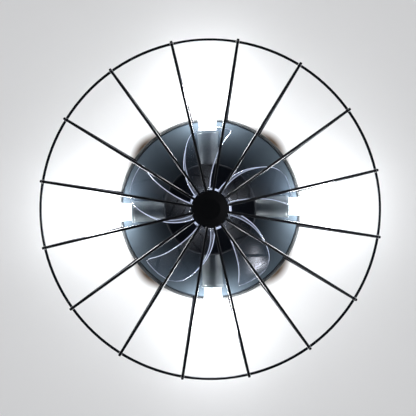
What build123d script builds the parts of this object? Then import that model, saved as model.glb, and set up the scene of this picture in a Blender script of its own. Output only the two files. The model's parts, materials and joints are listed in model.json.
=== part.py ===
from build123d import *
from math import asin, atan2, cos, radians, sin, sqrt
import os

# Ceiling fan light: a flat round canopy, a motor with four lamps around it, a clear impeller
# under the motor, and an open wire cage around everything.
# Millimetres, +Z up. The origin is the middle of the ceiling bracket's top face,
# so the whole object hangs below zero.

# Overall heights, measured down from the ceiling
canopy_depth = 36.0
hoop_drop = 20.0
lamp_drop = 68.0
ring_drop = 95.0
housing_drop = 97.0
cage_drop = 178.0

# Cage wires
ring_radius = 250.0
ring_wire = 4.0
hoop_gap = 1.5
hoop_wire = 4.0
rib_count = 16
rib_wire = 4.0
rib_angle = 11.25
rib_overhang = 2.0
rib_set_out = 0.4
rib_sideways = 2.8
disc_radius = 24.5
disc_flat_radius = 14.0
disc_thick = 2.0
weld_gap = 0.1

# Cage tabs
tab_count = 4
tab_wide = 12.0
tab_thick = 1.5
tab_foot = 11.0
tab_screw_below_hoop = 8.5

# Canopy pan
canopy_radius = 137.5
canopy_wall = 1.0
canopy_edge_round = 3.0

# Ceiling bracket
bracket_wide = 32.0
bracket_thick = 2.0
bracket_ear_deep = 16.0
bracket_ear_gap = 0.3
bracket_screw_drop = 9.0
box_slot_spacing = 79.4
box_slot_long = 14.5
box_slot_wide = 5.0
supply_hole_radius = 10.0

# Screws, all M4
screw_radius = 2.0
screw_head_radius = 3.5
screw_head_thick = 2.4
screw_long = 8.0
screw_recess_wide = 1.2
screw_recess_deep = 1.2
thread_gap = 0.05
screw_hole_gap = 0.2
seat_gap = 0.05

# Motor housing
housing_radius = 68.0
housing_wall = 1.2
housing_round = 4.0
housing_flange_wide = 8.0
housing_step_inset = 21.0
housing_step_wide = 9.0
housing_step_deep = 1.5
shaft_hole_radius = 8.0
housing_screw_inset = 5.0
housing_screw_count = 4
housing_screw_angle = 45.0

# Motor frame
damper_thick = 5.0
damper_radius = 7.0
motor_clearance = 20.0
motor_screw_inset = 8.0
motor_screw_count = 4
bell_wall = 1.7
bell_plate = 3.0
bell_deep = 14.0
bell_boss_radius = 14.0
bell_boss_deep = 8.0
bell_recess_deep = 1.5
bell_recess_radius = 7.0
tie_screw_inset = 6.5
tie_screw_count = 4
tie_screw_tail = 0.5

# Stator, windings and rotor
stack_long = 20.0
stator_tooth_count = 12
stator_yoke_thick = 12.0
stator_tooth_long = 13.0
tooth_wide = 5.0
tooth_shoe_thick = 2.0
tooth_shoe_wide = 9.0
coil_wire_bundle = 3.0
coil_shoe_gap = 1.5
coil_yoke_gap = 1.0
coil_gap = 0.1
coil_round = 1.5
air_gap = 0.5
end_ring_inset = 2.5
end_ring_thick = 2.0

# Bearings
bearing_outer_radius = 11.0
bearing_outer_bore = 9.0
bearing_inner_radius = 6.0
bearing_long = 7.0
ball_count = 7
ball_gap = 0.1

# Shaft
shaft_radius = 4.0
shaft_top_gap = 0.5
shaft_collar_radius = 6.5
shaft_collar_thick = 2.5
shaft_collar_gap = 1.0
shaft_flat_deep = 1.0
shaft_thread_long = 10.0
shaft_chamfer = 0.6

# Impeller
impeller_radius = 120.5
blade_count = 5
blade_angle = 56.6
blade_top_gap = 6.0
blade_drop = 22.0
blade_thick = 2.0
blade_camber = 0.09
blade_overlap = 1.25
blade_corner_round = 4.0
hub_radius = 30.0
hub_wall = 2.0
hub_face = 2.5
hub_round = 3.0
hub_top_gap = 5.0
hub_long = 35.0
hub_boss_radius = 9.0
hub_rib_count = 5
hub_rib_thick = 1.5
hub_rib_long = 15.0
bore_gap = 0.05

blade_root_radius = 24.0
blade_inner_radius = 60.0
blade_outer_radius = 92.0
blade_over_radius = 128.0

# One blade's plan, as radius, leading angle and trailing angle at each station
blade_stations = [
    (blade_root_radius, -51.0, -3.0),
    (blade_inner_radius, -37.5, 2.5),
    (blade_outer_radius, -24.5, 9.0),
    (blade_over_radius, -9.0, 17.5),
]
blade_tip_lead = -15.5
blade_tip_lead_inset = 8.5
blade_tip_shoulder = -5.0
blade_tip_middle = 4.0
blade_tip_trail = 15.0
blade_tip_trail_inset = 2.0

# Spinner nut
nut_radius = 11.0
nut_long = 14.0
nut_cap = 3.0
nut_round = 3.0
nut_grip_count = 12
nut_grip_radius = 1.2

# Lampholders
lamp_count = 4
holder_root_radius = 13.2
holder_radius = 15.2
holder_mouth_radius = 15.8
holder_wall = 1.3
holder_long = 49.5
holder_base = 18.5
holder_lip_radius = 16.8
holder_lip_long = 3.0
holder_lip_taper = 2.0
stem_radius = 5.0
stem_bore = 3.0
stem_long = 11.0
stem_hole_gap = 0.2
stem_nut_flats = 14.0
stem_nut_thick = 4.0
stem_nut_seat = 1.7
holder_edge_round = 0.8

# Lamp socket metalwork
shell_wall = 0.4
shell_gap = 0.2
shell_long = 24.0
shell_base_hole = 6.0
contact_radius = 3.0
contact_thick = 1.2
contact_rivet = 1.25
contact_rivet_long = 4.0

# Bulbs
bulb_long = 112.0
bulb_radius = 30.0
bulb_glass = 1.0
bulb_neck_radius = 13.0
bulb_neck_curve = 45.0
cap_radius = 13.0
cap_long = 22.0
cap_taper_long = 3.5
cap_tip_radius = 4.5
cap_tip_long = 1.5
cap_waist_radius = 7.0
contact_gap = 0.3

# Wiring and control gear inside the canopy
lead_radius = 1.2
lead_exit_inset = 16.0
lead_height = 7.0
lead_bend = 10.0
lead_floor_bend = 6.0
lead_gap = 0.3
grommet_radius = 7.0
grommet_groove = 5.0
grommet_bore = 2.5
grommet_lip = 1.5
terminal_angle = 45.0
terminal_reach = 36.0
terminal_long = 32.0
terminal_wide = 18.0
terminal_tall = 14.0
terminal_pitch = 7.0
terminal_screw_radius = 1.6
terminal_screw_deep = 6.0
terminal_entry_radius = 1.4
terminal_entry_deep = 5.0
receiver_reach = 38.0
receiver_long = 100.0
receiver_wide = 36.0
receiver_tall = 20.4
receiver_wall = 1.6
receiver_lid_thick = 2.0
receiver_lip = 2.5
receiver_lip_gap = 0.2
receiver_round = 3.0
board_thick = 1.6
board_stand = 3.0
board_margin = 2.5
board_capacitor_radius = 5.0
board_capacitor_long = 11.0
board_relay_long = 19.0
board_relay_wide = 15.0
board_relay_tall = 10.0
board_post_radius = 3.0

tiny = 0.01
cut_extra = 1.0
cut_walls = 4

# Radii and heights worked out from the sizes above
canopy_z = -canopy_depth
canopy_floor_z = canopy_z + canopy_wall
hoop_z = -hoop_drop
hoop_radius = canopy_radius + hoop_gap + hoop_wire / 2
lamp_z = -lamp_drop
ring_z = -ring_drop
housing_z = -housing_drop
housing_flange_radius = housing_radius - housing_flange_wide
housing_screw_radius = housing_radius - housing_screw_inset
housing_step_radius = housing_radius - housing_step_inset
housing_boss_radius = housing_step_radius - housing_step_wide
lead_exit_radius = housing_radius - lead_exit_inset
terminal_middle = lead_exit_radius + terminal_reach
receiver_middle = -lead_exit_radius - receiver_reach
bell_radius = housing_radius - motor_clearance
motor_screw_radius = bell_radius - motor_screw_inset
tie_screw_radius = bell_radius - tie_screw_inset
stator_yoke_radius = bell_radius - stator_yoke_thick
stator_bore_radius = stator_yoke_radius - stator_tooth_long
rotor_radius = stator_bore_radius - air_gap
end_ring_radius = rotor_radius - end_ring_inset
coil_start_radius = stator_bore_radius + tooth_shoe_thick + coil_shoe_gap
coil_long = stator_yoke_radius - coil_yoke_gap - coil_start_radius
bell_top_z = canopy_z - damper_thick
stack_top_z = bell_top_z - bell_deep
stack_bottom_z = stack_top_z - stack_long
bell_bottom_z = stack_bottom_z - bell_deep
upper_boss_z = bell_top_z - bell_plate - bell_boss_deep
lower_boss_z = bell_bottom_z + bell_plate + bell_boss_deep
upper_bearing_z = upper_boss_z + bearing_long / 2 + thread_gap
lower_bearing_z = lower_boss_z - bearing_long / 2 - thread_gap
boss_face_z = housing_z - 2 * housing_step_deep
collar_top_z = boss_face_z - shaft_collar_gap
collar_bottom_z = collar_top_z - shaft_collar_thick
hub_top_z = boss_face_z - hub_top_gap
hub_bottom_z = hub_top_z - hub_long
blade_top_z = boss_face_z - blade_top_gap
blade_bottom_z = blade_top_z - blade_drop
holder_mouth = housing_radius + seat_gap + holder_long
holder_floor = housing_radius + seat_gap + holder_base
shell_bore = holder_radius - holder_wall - shell_gap - shell_wall
lead_z = canopy_floor_z + lead_height


# Helpers

def turned(corners):
    # A solid turned about Z from its (radius, height) corners.
    outline = Polyline(*corners, close=True)
    return revolve(Plane.XZ * make_face(outline), Axis.Z)


def barrel(radius, top, bottom):
    # A plain cylinder about Z between two heights.
    return Pos(0, 0, bottom) * Cylinder(radius, top - bottom, align=(Align.CENTER, Align.CENTER, Align.MIN))


def around(count, radius, turn, piece):
    # The piece repeated about Z, each copy pushed out along its own direction.
    step = 360 / count
    return [Rot(0, 0, turn + step * k) * Pos(radius, 0, 0) * piece for k in range(count)]


def outward(piece, height):
    # Lays a piece that was made along Z out along +X at a height.
    return Pos(0, 0, height) * Rot(0, 90, 0) * piece


def rim(solid, radius, height):
    # The round edges of one radius at one height.
    circles = solid.edges().filter_by(GeomType.CIRCLE)
    return circles.filter_by(lambda e: abs(e.radius - radius) < tiny and abs(e.arc_center.Z - height) < tiny)


def save(name, piece):
    # Writes one node, as a single solid or as a group of separate solids.
    solids = [s for p in (piece if isinstance(piece, list) else [piece]) for s in p.solids()]
    shape = solids[0] if len(solids) == 1 else Compound(children=solids)
    shape.label = name
    export_step(shape, os.path.join("parts", name + ".step"))


def screw(length):
    # A pan-head screw with its head's seat at zero and its shank pointing down.
    head = barrel(screw_head_radius, screw_head_thick, 0)
    head = fillet(rim(head, screw_head_radius, screw_head_thick), screw_head_thick / 2)
    slots = Box(screw_recess_wide, 2 * screw_radius, 2 * screw_recess_deep)
    slots += Rot(0, 0, 90) * slots
    return head + barrel(screw_radius, 0, -length) - Pos(0, 0, screw_head_thick) * slots


# Cage

def tangent_line(low, low_offset, high, high_offset):
    # The line in the radius-height plane that passes a set distance over one point and another
    # over a second. Negative distances pass under. Gives the two feet and the slope angle.
    run, rise = high[0] - low[0], high[1] - low[1]
    slope = atan2(rise, run) + asin((high_offset - low_offset) / sqrt(run * run + rise * rise))
    feet = [(p[0] - sin(slope) * d, p[1] + cos(slope) * d) for p, d in ((low, low_offset), (high, high_offset))]
    return feet[0], feet[1], slope


def lower_rib_line():
    # From the disc's raised border, under the ring.
    knee = (disc_flat_radius, -cage_drop + disc_thick)
    rest = rib_wire / 2 + weld_gap
    return tangent_line(knee, rest, (ring_radius, ring_z), -rest - ring_wire / 2)


def upper_rib_line():
    # From the underside of the hoop, over the top of the ring.
    rest = rib_wire / 2 + weld_gap
    return tangent_line((hoop_radius, hoop_z), -rest - hoop_wire / 2, (ring_radius, ring_z), rest + ring_wire / 2)


def rod(line, sideways, before, after):
    # A straight round wire along a line, run on past both feet. Its first foot stands to one side.
    low, high = line[0], line[1]
    start, end = Vector(low[0], sideways, low[1]), Vector(high[0], 0, high[1])
    along = (end - start).normalized()
    length = (end - start).length + before + after
    place = Plane(origin=start - along * before, z_dir=along)
    return place * Cylinder(rib_wire / 2, length, align=(Align.CENTER, Align.CENTER, Align.MIN))


def cage_rib(number):
    # Two straight wires that meet at the ring, one under it and one over it: the lower from the disc,
    # the upper from the hoop.
    lower = rod(lower_rib_line(), 0, 0, ring_wire / 2)
    upper = rod(upper_rib_line(), rib_sideways, -rib_set_out, rib_overhang)
    turn = Rot(0, 0, rib_angle + 360 / rib_count * number)
    return [turn * lower, turn * upper]


def cage_disc():
    # A pressed plate with a flat middle and a border that slopes up along the ribs.
    slope = lower_rib_line()[2]
    bottom = -cage_drop
    rise = (disc_radius - disc_flat_radius) * sin(slope) / cos(slope)
    corners = [
        (0, bottom),
        (disc_flat_radius, bottom),
        (disc_radius, bottom + rise),
        (disc_radius, bottom + rise + disc_thick),
        (disc_flat_radius, bottom + disc_thick),
        (0, bottom + disc_thick),
    ]
    return turned(corners)


def cage_tabs():
    # Angles that hang from the hoop's underside and screw to the side of the canopy.
    back = canopy_radius + seat_gap
    top = hoop_z - hoop_wire / 2 - weld_gap
    foot = Box(tab_thick, tab_wide, tab_foot, align=(Align.MIN, Align.CENTER, Align.MAX))
    shelf_long = hoop_radius - back
    shelf = Box(shelf_long, tab_wide, tab_thick, align=(Align.MIN, Align.CENTER, Align.MAX))
    hole = outward(Cylinder(screw_radius + screw_hole_gap, cut_walls * tab_thick), hoop_z - tab_screw_below_hoop - top)
    tab = Pos(0, 0, top) * (foot + shelf - hole)
    return around(tab_count, back, 0, tab)


# Canopy and ceiling bracket

def canopy_pan():
    inner = canopy_radius - canopy_wall
    corners = [
        (0, canopy_z),
        (canopy_radius, canopy_z),
        (canopy_radius, 0),
        (inner, 0),
        (inner, canopy_floor_z),
        (0, canopy_floor_z),
    ]
    pan = turned(corners)
    pan = fillet(rim(pan, canopy_radius, canopy_z), canopy_edge_round)
    pan = fillet(rim(pan, inner, canopy_floor_z), canopy_edge_round - canopy_wall)
    floor_hole = Cylinder(screw_radius + screw_hole_gap, cut_walls * canopy_wall)
    motor_holes = around(motor_screw_count, motor_screw_radius, housing_screw_angle, floor_hole)
    housing_holes = around(housing_screw_count, housing_screw_radius, housing_screw_angle, floor_hole)
    lead_holes = around(lamp_count, lead_exit_radius, 0, Cylinder(grommet_groove, cut_walls * canopy_wall))
    for hole in motor_holes + housing_holes + lead_holes:
        pan -= Pos(0, 0, canopy_z) * hole
    side_hole = outward(Cylinder(screw_radius + thread_gap, cut_walls * canopy_wall), 0)
    for hole in around(2, inner, 0, side_hole):
        pan -= Pos(0, 0, -bracket_screw_drop) * hole
    for hole in around(tab_count, inner, 0, side_hole):
        pan -= Pos(0, 0, hoop_z - tab_screw_below_hoop) * hole
    return pan


def bracket_reach():
    # How far out the flat face of an ear can stand inside the round canopy wall.
    inner = canopy_radius - canopy_wall
    return sqrt(inner ** 2 - (bracket_wide / 2) ** 2) - bracket_ear_gap


def ceiling_bracket():
    reach = bracket_reach()
    bar = Box(2 * reach, bracket_wide, bracket_thick, align=(Align.CENTER, Align.CENTER, Align.MAX))
    ear = Box(bracket_thick, bracket_wide, bracket_ear_deep, align=(Align.MAX, Align.CENTER, Align.MAX))
    ear_hole = outward(Cylinder(screw_radius + thread_gap, cut_walls * bracket_thick), -bracket_screw_drop)
    for piece in around(2, reach, 0, ear):
        bar += piece
    for hole in around(2, reach, 0, ear_hole):
        bar -= hole
    slot = extrude(SlotOverall(box_slot_long, box_slot_wide), cut_walls * bracket_thick, both=True)
    for end in (1, -1):
        bar -= Pos(end * box_slot_spacing / 2, 0, 0) * slot
    return bar - Cylinder(supply_hole_radius, cut_walls * bracket_thick)


def side_screws(count, seat_radius, height):
    # Screws driven inwards through the canopy wall.
    piece = Rot(0, 90, 0) * screw(screw_long)
    return [Pos(0, 0, height) * s for s in around(count, seat_radius + seat_gap, 0, piece)]


def floor_screws():
    # Eight screws that hang the motor and its housing from the canopy floor.
    piece = Pos(0, 0, canopy_floor_z) * screw(screw_long)
    motor = around(motor_screw_count, motor_screw_radius, housing_screw_angle, piece)
    return motor + around(housing_screw_count, housing_screw_radius, housing_screw_angle, piece)


# Motor housing and motor

def motor_housing():
    outer, wall = housing_radius, housing_wall
    step_z = housing_z - housing_step_deep
    floor_in = housing_z + wall
    corners = [
        (housing_flange_radius, canopy_z),
        (outer, canopy_z),
        (outer, housing_z),
        (housing_step_radius, housing_z),
        (housing_step_radius, step_z),
        (housing_boss_radius, step_z),
        (housing_boss_radius, boss_face_z),
        (shaft_hole_radius, boss_face_z),
        (shaft_hole_radius, boss_face_z + wall),
        (housing_boss_radius - wall, boss_face_z + wall),
        (housing_boss_radius - wall, step_z + wall),
        (housing_step_radius - wall, step_z + wall),
        (housing_step_radius - wall, floor_in),
        (outer - wall, floor_in),
        (outer - wall, canopy_z - wall),
        (housing_flange_radius, canopy_z - wall),
    ]
    cup = turned(corners)
    cup = fillet(rim(cup, outer, housing_z), housing_round)
    cup = fillet(rim(cup, outer - wall, floor_in), housing_round - wall)
    tapped = Cylinder(screw_radius + thread_gap, cut_walls * wall)
    for hole in around(housing_screw_count, housing_screw_radius, housing_screw_angle, tapped):
        cup -= Pos(0, 0, canopy_z) * hole
    side_hole = outward(Cylinder(stem_radius + stem_hole_gap, 2 * cut_walls * wall), lamp_z)
    for hole in around(lamp_count, outer, 0, side_hole):
        cup -= hole
    return cup


def bell(mouth_z, plate_z, way):
    # One half of the motor frame: a plate with a skirt to the stator and a bearing seat.
    # The way is 1 for the upper half and -1 for the lower half.
    plate_in = plate_z - way * bell_plate
    boss = plate_in - way * bell_boss_deep
    recess = boss + way * (bearing_long + 2 * thread_gap)
    bottom = recess + way * bell_recess_deep
    corners = [
        (0, plate_z),
        (bell_radius, plate_z),
        (bell_radius, mouth_z),
        (bell_radius - bell_wall, mouth_z),
        (bell_radius - bell_wall, plate_in),
        (bell_boss_radius, plate_in),
        (bell_boss_radius, boss),
        (bearing_outer_radius, boss),
        (bearing_outer_radius, recess),
        (bell_recess_radius, recess),
        (bell_recess_radius, bottom),
        (0, bottom),
    ]
    return turned(corners)


def motor_upper_bell():
    frame = bell(stack_top_z, bell_top_z, 1)
    tapped = Pos(0, 0, bell_top_z) * Cylinder(screw_radius + thread_gap, cut_walls * bell_plate)
    for hole in around(motor_screw_count, motor_screw_radius, housing_screw_angle, tapped):
        frame -= hole
    for hole in around(tie_screw_count, tie_screw_radius, 0, tapped):
        frame -= hole
    return frame


def motor_lower_bell():
    frame = bell(stack_bottom_z, bell_bottom_z, -1)
    clear = Pos(0, 0, bell_bottom_z) * Cylinder(screw_radius + screw_hole_gap, cut_walls * bell_plate)
    for hole in around(tie_screw_count, tie_screw_radius, 0, clear):
        frame -= hole
    return frame - Pos(0, 0, bell_bottom_z) * Cylinder(bell_recess_radius, cut_walls * bell_plate)


def tie_screws():
    # Long screws that clamp the two bells on the stator from below.
    long = bell_top_z - bell_bottom_z - tie_screw_tail
    piece = Pos(0, 0, bell_bottom_z) * Rot(180, 0, 0) * screw(long)
    return around(tie_screw_count, tie_screw_radius, 0, piece)


def motor_dampers():
    ring = barrel(damper_radius, canopy_z, bell_top_z) - barrel(screw_radius + screw_hole_gap, 0, bell_bottom_z)
    return around(motor_screw_count, motor_screw_radius, housing_screw_angle, ring)


def stator_core():
    stack = barrel(bell_radius, stack_top_z, stack_bottom_z) - barrel(stator_yoke_radius, 0, bell_bottom_z)
    middle = (stack_top_z + stack_bottom_z) / 2
    tooth = Box(stator_tooth_long + cut_extra, tooth_wide, stack_long, align=(Align.MIN, Align.CENTER, Align.CENTER))
    shoe = Box(tooth_shoe_thick, tooth_shoe_wide, stack_long, align=(Align.MIN, Align.CENTER, Align.CENTER))
    for piece in around(stator_tooth_count, stator_bore_radius, 0, tooth + shoe):
        stack += Pos(0, 0, middle) * piece
    for hole in around(tie_screw_count, tie_screw_radius, 0, barrel(screw_radius + screw_hole_gap, 0, bell_bottom_z)):
        stack -= hole
    return stack - barrel(stator_bore_radius, 0, bell_bottom_z)


def stator_windings():
    # One closed coil around each tooth.
    middle = (stack_top_z + stack_bottom_z) / 2
    hole_wide = tooth_wide + 2 * coil_gap
    hole_tall = stack_long + 2 * coil_gap
    centre = (Align.MIN, Align.CENTER, Align.CENTER)
    coil = Box(coil_long, hole_wide + 2 * coil_wire_bundle, hole_tall + 2 * coil_wire_bundle, align=centre)
    coil = fillet(coil.edges().filter_by(Axis.X), coil_round)
    coil -= Box(coil_long, hole_wide, hole_tall, align=centre)
    return [Pos(0, 0, middle) * c for c in around(stator_tooth_count, coil_start_radius, 0, coil)]


def rotor():
    core = barrel(rotor_radius, stack_top_z, stack_bottom_z)
    core += barrel(end_ring_radius, stack_top_z + end_ring_thick, stack_bottom_z - end_ring_thick)
    return core - barrel(shaft_radius, 0, bell_bottom_z)


def bearing_outer(height):
    ring = barrel(bearing_outer_radius - thread_gap, height + bearing_long / 2, height - bearing_long / 2)
    ring -= barrel(bearing_outer_bore, 0, bell_bottom_z)
    ball_radius = (bearing_outer_bore - bearing_inner_radius) / 2 - ball_gap
    pitch = (bearing_outer_bore + bearing_inner_radius) / 2
    balls = around(ball_count, pitch, 0, Pos(0, 0, height) * Sphere(ball_radius))
    return [ring] + balls


def bearing_inner_rings():
    rings = []
    for height in (upper_bearing_z, lower_bearing_z):
        ring = barrel(bearing_inner_radius, height + bearing_long / 2, height - bearing_long / 2)
        rings.append(ring - barrel(shaft_radius, 0, bell_bottom_z))
    return rings


def motor_shaft():
    top = upper_bearing_z + bearing_long / 2 + shaft_top_gap
    end = hub_bottom_z - shaft_thread_long
    shaft = barrel(shaft_radius, top, end) + barrel(shaft_collar_radius, collar_top_z, collar_bottom_z)
    flat_height = collar_bottom_z - hub_bottom_z
    flat = Box(shaft_radius, 2 * shaft_radius, flat_height, align=(Align.MIN, Align.CENTER, Align.MIN))
    shaft -= Pos(shaft_radius - shaft_flat_deep, 0, hub_bottom_z) * flat
    return chamfer(rim(shaft, shaft_radius, end), shaft_chamfer)


# Impeller

def polar(radius, angle):
    return radius * cos(radians(angle)), radius * sin(radians(angle))


def blade_section(station):
    # The blade's cambered section at one station, a little longer than its plan.
    radius, lead, trail = station
    half = (trail - lead) / 2
    reach, side = polar(radius, half)
    middle = polar(reach, (lead + trail) / 2)
    outward_way = polar(1, (lead + trail) / 2)
    plane = Plane(
        origin=(middle[0], middle[1], (blade_top_z + blade_bottom_z) / 2),
        x_dir=(-outward_way[1], outward_way[0], 0),
        z_dir=(outward_way[0], outward_way[1], 0),
    )
    end_x = side * blade_overlap
    end_y = -blade_drop / 2 * blade_overlap
    rise = 2 * end_x * blade_camber
    half_thick = blade_thick / 2
    top = ThreePointArc((-end_x, -end_y + half_thick), (0, rise + half_thick), (end_x, end_y + half_thick))
    bottom = ThreePointArc((end_x, end_y - half_thick), (0, rise - half_thick), (-end_x, -end_y - half_thick))
    sides = [Line(top @ 1, bottom @ 0), Line(bottom @ 1, top @ 0)]
    return plane * make_face([top, sides[0], bottom, sides[1]])


def blade_plan():
    # The blade's outline seen along the axis, as a tall block to cut it with.
    leads = [polar(r, lead) for r, lead, trail in blade_stations[:-1]]
    leads.append(polar(impeller_radius - blade_tip_lead_inset, blade_tip_lead))
    leads.append(polar(impeller_radius, blade_tip_shoulder))
    corner = polar(impeller_radius - blade_tip_trail_inset, blade_tip_trail)
    trails = [corner] + [polar(r, trail) for r, lead, trail in reversed(blade_stations[:-1])]
    lead_edge = Spline(*leads)
    tip = ThreePointArc(leads[-1], polar(impeller_radius, blade_tip_middle), corner)
    trail_edge = Spline(*trails)
    root = Line(trails[-1], leads[0])
    plan = make_face([lead_edge, tip, trail_edge, root])
    plan = fillet(plan.vertices().sort_by_distance((corner[0], corner[1], 0))[0], blade_corner_round)
    return Pos(0, 0, hub_bottom_z) * extrude(plan, hub_long + hub_top_gap)


def impeller():
    hub = barrel(hub_radius, hub_top_z, hub_bottom_z)
    hub = fillet(rim(hub, hub_radius, hub_bottom_z), hub_round)
    hollow = barrel(hub_radius - hub_wall, hub_top_z, hub_bottom_z + hub_face)
    hub -= fillet(rim(hollow, hub_radius - hub_wall, hub_bottom_z + hub_face), hub_round - hub_wall)
    spoke_long = hub_radius - hub_wall / 2 - hub_boss_radius / 2
    spoke = Box(spoke_long, hub_rib_thick, hub_rib_long, align=(Align.MIN, Align.CENTER, Align.MIN))
    for piece in around(hub_rib_count, hub_boss_radius / 2, 0, spoke):
        hub += Pos(0, 0, hub_bottom_z + hub_face / 2) * piece
    hub += barrel(hub_boss_radius, collar_bottom_z, hub_bottom_z)
    blade = loft([blade_section(s) for s in blade_stations]) & blade_plan()
    blade -= barrel(hub_radius - hub_wall / 2, 0, -cage_drop)
    for piece in around(blade_count, 0, blade_angle, blade):
        hub += piece
    bore = barrel(shaft_radius + bore_gap, 0, -cage_drop)
    flat = Box(shaft_radius, 2 * shaft_radius, cage_drop, align=(Align.MIN, Align.CENTER, Align.MAX))
    bore -= Pos(shaft_radius - shaft_flat_deep + bore_gap, 0, 0) * flat
    return hub - bore


def spinner_nut():
    bottom = hub_bottom_z - nut_long
    nut = barrel(nut_radius, hub_bottom_z, bottom)
    nut = fillet(rim(nut, nut_radius, bottom), nut_round)
    groove = barrel(nut_grip_radius, hub_bottom_z, bottom)
    for piece in around(nut_grip_count, nut_radius, 0, groove):
        nut -= piece
    return nut - barrel(shaft_radius + thread_gap, hub_bottom_z, bottom + nut_cap)


# Lampholders and bulbs, made along Z from the housing outwards and then laid along +X

def lampholder():
    back = housing_radius + seat_gap
    bore = holder_radius - holder_wall
    lip = holder_mouth - holder_lip_long
    body = turned([
        (0, back),
        (holder_root_radius, back),
        (holder_radius, holder_floor),
        (holder_mouth_radius, lip - holder_lip_taper),
        (holder_lip_radius, lip),
        (holder_lip_radius, holder_mouth),
        (bore, holder_mouth),
        (bore, holder_floor),
        (0, holder_floor),
    ])
    outer_edges = rim(body, holder_root_radius, back) + rim(body, holder_lip_radius, holder_mouth)
    body = fillet(outer_edges, holder_edge_round)
    body += barrel(stem_radius, back + cut_extra, back - stem_long)
    body -= barrel(stem_bore, holder_floor - contact_rivet_long, back - stem_long)
    return body - barrel(contact_rivet + thread_gap, holder_floor, holder_floor - 2 * contact_rivet_long)


def socket_shell():
    outer = shell_bore + shell_wall
    bottom = holder_floor
    cup = turned([
        (shell_base_hole, bottom),
        (outer, bottom),
        (outer, bottom + shell_long),
        (shell_bore, bottom + shell_long),
        (shell_bore, bottom + shell_wall),
        (shell_base_hole, bottom + shell_wall),
    ])
    return cup


def socket_contact():
    button = barrel(contact_radius, holder_floor + contact_thick, holder_floor)
    return button + barrel(contact_rivet, holder_floor + contact_thick / 2, holder_floor - contact_rivet_long)


def socket_nut():
    seat = housing_radius - stem_nut_seat
    hexagon = extrude(RegularPolygon(stem_nut_flats / 2, 6, major_radius=False), -stem_nut_thick)
    return Pos(0, 0, seat) * hexagon - barrel(stem_radius + thread_gap, seat, seat - stem_nut_thick)


def bulb_start():
    return holder_floor + contact_thick + contact_gap


def bulb_cap():
    # Tip, waist and screw shell as one turned piece.
    start = bulb_start()
    shell = start + cap_tip_long + cap_taper_long
    return turned([
        (0, start),
        (cap_tip_radius, start),
        (cap_tip_radius, start + cap_tip_long),
        (cap_waist_radius, start + cap_tip_long),
        (cap_radius, shell),
        (cap_radius, shell + cap_long),
        (0, shell + cap_long),
    ])


def bulb_outline(inset):
    # Half of the pear-shaped glass: neck, a hollow curve and a round end, all tangent.
    # The inset moves the outline inwards for the inside of the glass.
    neck, round_end = bulb_neck_radius - inset, bulb_radius - inset
    hollow = bulb_neck_curve + inset
    middle = bulb_start() + bulb_long - bulb_radius
    bend = middle - sqrt((round_end + hollow) ** 2 - (neck + hollow) ** 2)
    centre = (neck + hollow, bend)
    ends = atan2(middle - bend, neck + hollow)
    join = (round_end * cos(ends), middle - round_end * sin(ends))
    halfway = (centre[0] - hollow * cos(ends / 2), bend + hollow * sin(ends / 2))
    foot = bulb_start() + cap_tip_long + cap_taper_long + cap_long
    inner_foot = foot + (bulb_glass if inset else 0)
    swing = (radians(90) - ends) / 2
    crown = (round_end * cos(swing), middle + round_end * sin(swing))
    return make_face([
        Line((0, inner_foot), (neck, inner_foot)),
        Line((neck, inner_foot), (neck, bend)),
        ThreePointArc((neck, bend), halfway, join),
        ThreePointArc(join, crown, (0, middle + round_end)),
        Line((0, middle + round_end), (0, inner_foot)),
    ])


def bulb_globe():
    glass = revolve(Plane.XZ * bulb_outline(0), Axis.Z)
    return glass - revolve(Plane.XZ * bulb_outline(bulb_glass), Axis.Z)


# Wiring and control gear

def grommet():
    lip_top = canopy_floor_z + grommet_lip
    lip_bottom = canopy_z - grommet_lip
    return turned([
        (grommet_bore, lip_bottom),
        (grommet_radius, lip_bottom),
        (grommet_radius, canopy_z),
        (grommet_groove, canopy_z),
        (grommet_groove, canopy_floor_z),
        (grommet_radius, canopy_floor_z),
        (grommet_radius, lip_top),
        (grommet_bore, lip_top),
    ])


def terminal_point(slot):
    # Where a lead enters the terminal block's inner face.
    face = terminal_middle - terminal_wide / 2 - lead_gap
    side = (slot - (lamp_count - 1) / 2) * terminal_pitch
    along, across = polar(1, terminal_angle), polar(1, terminal_angle + 90)
    return face * along[0] + side * across[0], face * along[1] + side * across[1]


def lamp_lead(lamp, slot):
    # From the rivet in one lampholder, up through its grommet and over the floor to the terminals.
    ahead = polar(1, 360 / lamp_count * lamp)
    begin = holder_floor - contact_rivet_long - lead_gap
    end = terminal_point(slot)
    path = FilletPolyline(
        (begin * ahead[0], begin * ahead[1], lamp_z),
        (lead_exit_radius * ahead[0], lead_exit_radius * ahead[1], lamp_z),
        (lead_exit_radius * ahead[0], lead_exit_radius * ahead[1], lead_z),
        (end[0], end[1], lead_z),
        radius=[lead_bend, lead_floor_bend],
    )
    start = Plane(origin=path @ 0, z_dir=path % 0)
    return sweep(start * Circle(lead_radius), path)


def lamp_leads():
    # The terminals count the other way round from the lamps, so that no two leads cross.
    return [lamp_lead(-slot % lamp_count, slot) for slot in range(lamp_count)]


def terminal_block():
    block = Box(terminal_wide, terminal_long, terminal_tall, align=(Align.CENTER, Align.CENTER, Align.MIN))
    entry_z = lead_height
    top = Pos(0, 0, terminal_tall) * Cylinder(terminal_screw_radius, 2 * terminal_screw_deep)
    entry = Pos(0, 0, entry_z) * Rot(0, 90, 0) * Cylinder(terminal_entry_radius, 2 * terminal_entry_deep)
    for slot in range(lamp_count):
        side = (slot - (lamp_count - 1) / 2) * terminal_pitch
        for face in (-1, 1):
            block -= Pos(face * terminal_wide / 4, side, 0) * top
            block -= Pos(face * terminal_wide / 2, side, 0) * entry
    return Rot(0, 0, terminal_angle) * Pos(terminal_middle, 0, canopy_floor_z) * block


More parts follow.
